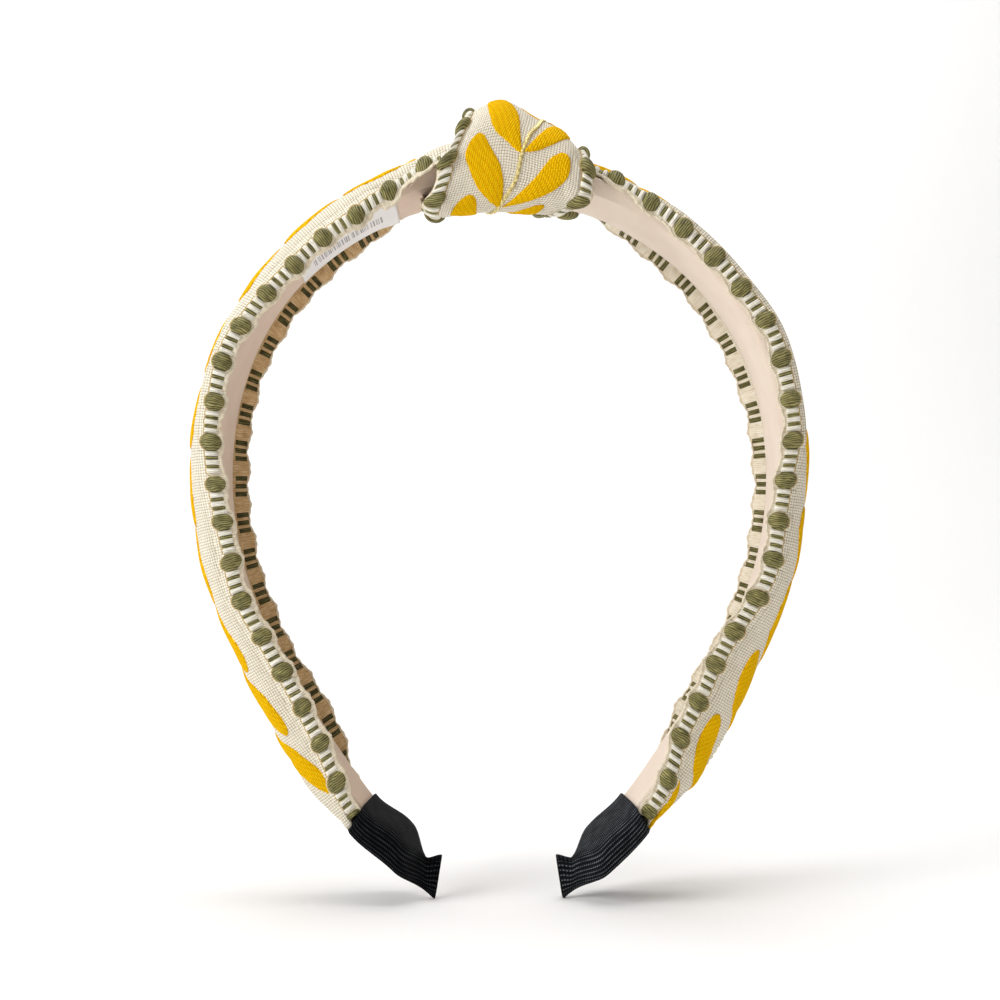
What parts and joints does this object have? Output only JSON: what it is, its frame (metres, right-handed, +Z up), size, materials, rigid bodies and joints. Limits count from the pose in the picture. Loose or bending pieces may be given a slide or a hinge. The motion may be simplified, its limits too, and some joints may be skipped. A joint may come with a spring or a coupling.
{
  "type": "knotted headband",
  "caption": "Padded spring hoop headband in cream jacquard ribbon with yellow leaves and olive beaded edges, knotted over the crown, with black folded end caps.",
  "frame": {"origin": "middle of the knot's flat underside, where the crown rests on the head", "axes": "+Z up as worn, from the open ends to the crown; X from ear to ear; +Y towards the back of the head, -Y towards the face"},
  "size_m": [0.1376, 0.0386, 0.1788],
  "materials": {
    "lining_felt": "soft pale pink brushed satin",
    "hoop_plastic": "matte springy plastic strip",
    "padding": "soft foam padding",
    "ribbon_cloth": "cream plain-weave cotton ground",
    "leaf_cloth": "golden yellow satin-stitch leaves with a gold metallic stem on a cream ground",
    "border_thread": "olive and white floss, raised in beads and bars",
    "cap_grosgrain": "black ribbed grosgrain",
    "label_paper": "white paper label with plain grey bars"
  },
  "bodies": {
    "crown": {"lining_crown": "lining_felt", "core_crown": "hoop_plastic", "foam_crown_left": "padding", "foam_crown_right": "padding", "ribbon_crown_left": "ribbon_cloth", "ribbon_crown_right": "ribbon_cloth", "border_front_crown_left": "border_thread", "border_back_crown_left": "border_thread", "border_front_crown_right": "border_thread", "border_back_crown_right": "border_thread", "knot_border_left": "border_thread", "knot_border_right": "border_thread", "knot_wrap": "leaf_cloth", "knot_filling": "ribbon_cloth", "price_label": "label_paper"},
    "left_arm": {"lining_left": "lining_felt", "core_left": "hoop_plastic", "foam_left": "padding", "ribbon_left": "ribbon_cloth", "border_front_left": "border_thread", "border_back_left": "border_thread", "end_cap_left": "cap_grosgrain"},
    "right_arm": {"lining_right": "lining_felt", "core_right": "hoop_plastic", "foam_right": "padding", "ribbon_right": "ribbon_cloth", "border_front_right": "border_thread", "border_back_right": "border_thread", "end_cap_right": "cap_grosgrain"}
  },
  "joints": [
    {"name": "left_arm_flex", "type": "hinge", "parent": "crown", "child": "left_arm", "pos_m": [-0.05257, 0, -0.0158], "axis": [0, 1, 0], "range_deg": [-5, 20], "stiffness_Nm_per_rad": 0.8},
    {"name": "right_arm_flex", "type": "hinge", "parent": "crown", "child": "right_arm", "pos_m": [0.05257, 0, -0.0158], "axis": [0, -1, 0], "range_deg": [-5, 20], "stiffness_Nm_per_rad": 0.8}
  ]
}
